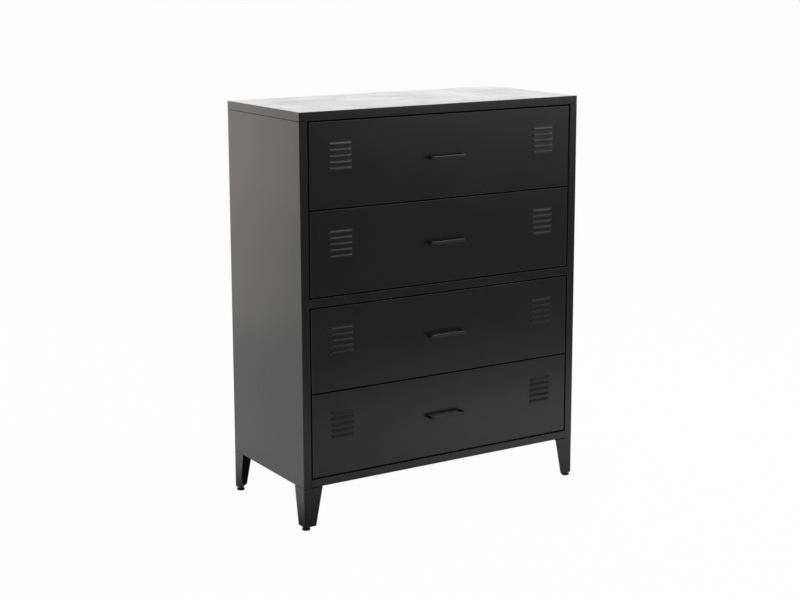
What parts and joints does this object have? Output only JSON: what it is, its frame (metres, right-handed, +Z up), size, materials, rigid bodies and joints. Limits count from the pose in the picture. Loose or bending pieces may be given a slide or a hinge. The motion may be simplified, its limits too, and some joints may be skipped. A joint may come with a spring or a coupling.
{
  "type": "drawer cabinet",
  "caption": "Folded-steel drawer cabinet with louvred drawer fronts, bow handles, ball-bearing runners, a mid rail, tapered corner legs and screw-in levelling feet.",
  "frame": {"origin": "on the floor, midway across the width, and midway in depth between the front of the handles and the heads of the screws in the back", "axes": "+Z up; -Y is the front, where the drawers open; +X is to the right of a person who faces the drawers"},
  "size_m": [0.8, 0.3924, 1],
  "materials": {
    "black_steel": "black powder coat, satin",
    "zinc_steel": "bright zinc plate",
    "foot_plastic": "moulded, matt black"
  },
  "bodies": {
    "cabinet": {"top_panel": "black_steel", "left_side_panel": "black_steel", "right_side_panel": "black_steel", "back_panel": "black_steel", "bottom_panel": "black_steel", "middle_rail": "black_steel", "panel_screws": "zinc_steel", "leg_screws": "zinc_steel", "leg_nuts": "zinc_steel", "foot_nuts": "zinc_steel", "leg_front_left": "black_steel", "leg_front_right": "black_steel", "leg_rear_left": "black_steel", "leg_rear_right": "black_steel", "cabinet_runner_left_1": "zinc_steel", "cabinet_runner_left_2": "zinc_steel", "cabinet_runner_left_3": "zinc_steel", "cabinet_runner_left_4": "zinc_steel", "cabinet_runner_right_1": "zinc_steel", "cabinet_runner_right_2": "zinc_steel", "cabinet_runner_right_3": "zinc_steel", "cabinet_runner_right_4": "zinc_steel"},
    "drawer_1": {"drawer_front_1": "black_steel", "drawer_box_1": "black_steel", "handle_1": "black_steel", "drawer_screws_1": "zinc_steel", "drawer_runner_left_1": "zinc_steel", "drawer_runner_right_1": "zinc_steel"},
    "ball_cages_1": {"ball_cages_1": "zinc_steel"},
    "drawer_2": {"drawer_front_2": "black_steel", "drawer_box_2": "black_steel", "handle_2": "black_steel", "drawer_screws_2": "zinc_steel", "drawer_runner_left_2": "zinc_steel", "drawer_runner_right_2": "zinc_steel"},
    "ball_cages_2": {"ball_cages_2": "zinc_steel"},
    "drawer_3": {"drawer_front_3": "black_steel", "drawer_box_3": "black_steel", "handle_3": "black_steel", "drawer_screws_3": "zinc_steel", "drawer_runner_left_3": "zinc_steel", "drawer_runner_right_3": "zinc_steel"},
    "ball_cages_3": {"ball_cages_3": "zinc_steel"},
    "drawer_4": {"drawer_front_4": "black_steel", "drawer_box_4": "black_steel", "handle_4": "black_steel", "drawer_screws_4": "zinc_steel", "drawer_runner_left_4": "zinc_steel", "drawer_runner_right_4": "zinc_steel"},
    "ball_cages_4": {"ball_cages_4": "zinc_steel"},
    "foot_front_left": {"foot_pad_front_left": "foot_plastic", "foot_stud_front_left": "zinc_steel"},
    "foot_front_right": {"foot_pad_front_right": "foot_plastic", "foot_stud_front_right": "zinc_steel"},
    "foot_rear_left": {"foot_pad_rear_left": "foot_plastic", "foot_stud_rear_left": "zinc_steel"},
    "foot_rear_right": {"foot_pad_rear_right": "foot_plastic", "foot_stud_rear_right": "zinc_steel"}
  },
  "joints": [
    {"name": "drawer_1_slide", "type": "slide", "parent": "cabinet", "child": "drawer_1", "axis": [0, -1, 0], "range_m": [0, 0.225]},
    {"name": "drawer_2_slide", "type": "slide", "parent": "cabinet", "child": "drawer_2", "axis": [0, -1, 0], "range_m": [0, 0.225]},
    {"name": "drawer_3_slide", "type": "slide", "parent": "cabinet", "child": "drawer_3", "axis": [0, -1, 0], "range_m": [0, 0.225]},
    {"name": "drawer_4_slide", "type": "slide", "parent": "cabinet", "child": "drawer_4", "axis": [0, -1, 0], "range_m": [0, 0.225]},
    {"name": "ball_cages_1_slide", "type": "slide", "parent": "cabinet", "child": "ball_cages_1", "axis": [0, -1, 0], "range_m": [0, 0.1125]},
    {"name": "ball_cages_2_slide", "type": "slide", "parent": "cabinet", "child": "ball_cages_2", "axis": [0, -1, 0], "range_m": [0, 0.1125]},
    {"name": "ball_cages_3_slide", "type": "slide", "parent": "cabinet", "child": "ball_cages_3", "axis": [0, -1, 0], "range_m": [0, 0.1125]},
    {"name": "ball_cages_4_slide", "type": "slide", "parent": "cabinet", "child": "ball_cages_4", "axis": [0, -1, 0], "range_m": [0, 0.1125]},
    {"name": "foot_front_left_adjust", "type": "slide", "parent": "cabinet", "child": "foot_front_left", "axis": [0, 0, -1], "range_m": [0, 0.01]},
    {"name": "foot_front_right_adjust", "type": "slide", "parent": "cabinet", "child": "foot_front_right", "axis": [0, 0, -1], "range_m": [0, 0.01]},
    {"name": "foot_rear_left_adjust", "type": "slide", "parent": "cabinet", "child": "foot_rear_left", "axis": [0, 0, -1], "range_m": [0, 0.01]},
    {"name": "foot_rear_right_adjust", "type": "slide", "parent": "cabinet", "child": "foot_rear_right", "axis": [0, 0, -1], "range_m": [0, 0.01]}
  ],
  "couplings": [
    {"joint": "ball_cages_1_slide", "follows": "drawer_1_slide", "ratio": 0.5},
    {"joint": "ball_cages_2_slide", "follows": "drawer_2_slide", "ratio": 0.5},
    {"joint": "ball_cages_3_slide", "follows": "drawer_3_slide", "ratio": 0.5},
    {"joint": "ball_cages_4_slide", "follows": "drawer_4_slide", "ratio": 0.5}
  ]
}
